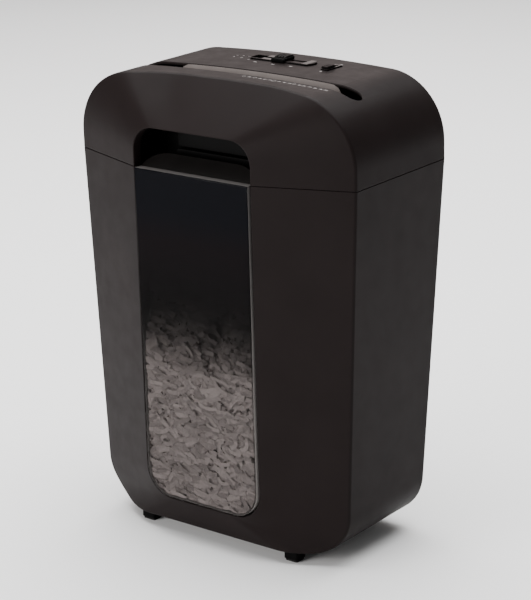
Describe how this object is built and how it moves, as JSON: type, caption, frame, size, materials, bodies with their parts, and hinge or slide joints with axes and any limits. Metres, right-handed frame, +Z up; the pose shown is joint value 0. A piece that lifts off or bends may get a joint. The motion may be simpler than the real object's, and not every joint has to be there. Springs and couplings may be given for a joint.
{
  "type": "paper shredder",
  "caption": "Free-standing paper shredder: a cutting head with a paper slot, mode slider and lock lifts off a tapered waste bin with a front window.",
  "frame": {"origin": "on the floor, under the middle of the machine's outline", "axes": "+Z up, -Y out of the front (the window side), +X to the right as seen from the front"},
  "size_m": [0.3406, 0.204, 0.4825],
  "materials": {
    "casing": "fine spark-eroded texture, satin",
    "window": "smoked clear, polished",
    "gloss_trim": "polished",
    "paper": "cross-cut shreds",
    "black_plastic": "moulded",
    "recess_floor": "satin",
    "guide_plastic": "smooth",
    "steel_plate": "zinc plated",
    "cutter_steel": "hardened, oiled",
    "nylon": "moulded nylon",
    "brass": "sintered",
    "ferrite": "sintered ferrite",
    "circuit_board": "solder mask",
    "component": "moulded",
    "rubber": "matt",
    "lens": "diffuse"
  },
  "bodies": {
    "bin": {"bin_shell": "casing", "window_panel": "window", "grip_tab": "gloss_trim", "foot_front_left": "black_plastic", "foot_front_right": "black_plastic", "foot_rear_left": "black_plastic", "foot_rear_right": "black_plastic", "shredded_paper": "paper", "interlock_post": "black_plastic"},
    "head": {"base_screw_front_left": "steel_plate", "base_screw_front_right": "steel_plate", "base_screw_rear_left": "steel_plate", "base_screw_rear_right": "steel_plate", "bush_front_left": "brass", "bush_front_right": "brass", "bush_rear_left": "brass", "bush_rear_right": "brass", "capacitor": "component", "control_board": "circuit_board", "control_tray": "recess_floor", "cord_gland": "rubber", "frame_plate_left": "steel_plate", "frame_plate_right": "steel_plate", "gear_cover": "black_plastic", "grip_well": "black_plastic", "head_base": "black_plastic", "head_cover": "casing", "idler_pin": "steel_plate", "indicator_lens_1": "lens", "indicator_lens_2": "lens", "indicator_lens_3": "lens", "interlock_switch": "component", "mode_switch_body": "component", "motor_can": "steel_plate", "motor_end_bell": "black_plastic", "motor_magnet_lower": "ferrite", "motor_magnet_upper": "ferrite", "relay": "component", "sensor_pin": "steel_plate", "sensor_switch": "component", "stripper_comb_front": "black_plastic", "stripper_comb_rear": "black_plastic", "throat_guide_front": "guide_plastic", "throat_guide_rear": "guide_plastic", "tie_rod_lower_front": "steel_plate", "tie_rod_lower_rear": "steel_plate", "tie_rod_upper_front": "steel_plate", "tie_rod_upper_rear": "steel_plate"},
    "mode_knob": {"mode_knob": "black_plastic"},
    "lock_slider": {"lock_slider": "black_plastic"},
    "cutter_rear": {"cutter_rear": "cutter_steel", "sync_gear_rear": "cutter_steel", "drive_gear": "nylon"},
    "cutter_front": {"cutter_front": "cutter_steel", "sync_gear_front": "cutter_steel"},
    "idler": {"idler_gear": "nylon"},
    "motor_rotor": {"motor_rotor": "cutter_steel", "motor_pinion": "brass"},
    "paper_sensor": {"paper_sensor_lever": "black_plastic"},
    "plunger": {"interlock_plunger": "nylon"}
  },
  "joints": [
    {"name": "head_lift", "type": "slide", "parent": "bin", "child": "head", "axis": [0, 0, 1], "range_m": [0, 0.15]},
    {"name": "mode_slide", "type": "slide", "parent": "head", "child": "mode_knob", "axis": [1, 0, 0], "range_m": [-0.023, 0.023]},
    {"name": "lock_slide", "type": "slide", "parent": "head", "child": "lock_slider", "axis": [0, 1, 0], "range_m": [0, 0.012]},
    {"name": "cutter_rear_spin", "type": "hinge", "parent": "head", "child": "cutter_rear", "pos_m": [0, 0.004, 0.404], "axis": [1, 0, 0], "continuous": true},
    {"name": "cutter_front_spin", "type": "hinge", "parent": "head", "child": "cutter_front", "pos_m": [0, -0.028, 0.404], "axis": [1, 0, 0], "continuous": true},
    {"name": "idler_spin", "type": "hinge", "parent": "head", "child": "idler", "pos_m": [0.133, 0.02707, 0.42318], "axis": [1, 0, 0], "continuous": true},
    {"name": "motor_spin", "type": "hinge", "parent": "head", "child": "motor_rotor", "pos_m": [0.08, 0.052, 0.425], "axis": [1, 0, 0], "continuous": true},
    {"name": "paper_sensor_swing", "type": "hinge", "parent": "head", "child": "paper_sensor", "pos_m": [0, -0.003, 0.45], "axis": [1, 0, 0], "range_deg": [0, 32], "stiffness_Nm_per_rad": 0.01, "springref_deg": -20.05},
    {"name": "plunger_slide", "type": "slide", "parent": "head", "child": "plunger", "axis": [0, 0, -1], "range_m": [0, 0.0031]}
  ],
  "couplings": [
    {"joint": "cutter_front_spin", "follows": "cutter_rear_spin", "ratio": -1},
    {"joint": "idler_spin", "follows": "cutter_rear_spin", "ratio": -3},
    {"joint": "motor_spin", "follows": "cutter_rear_spin", "ratio": 12},
    {"joint": "plunger_slide", "follows": "head_lift", "ratio": 0.02}
  ]
}
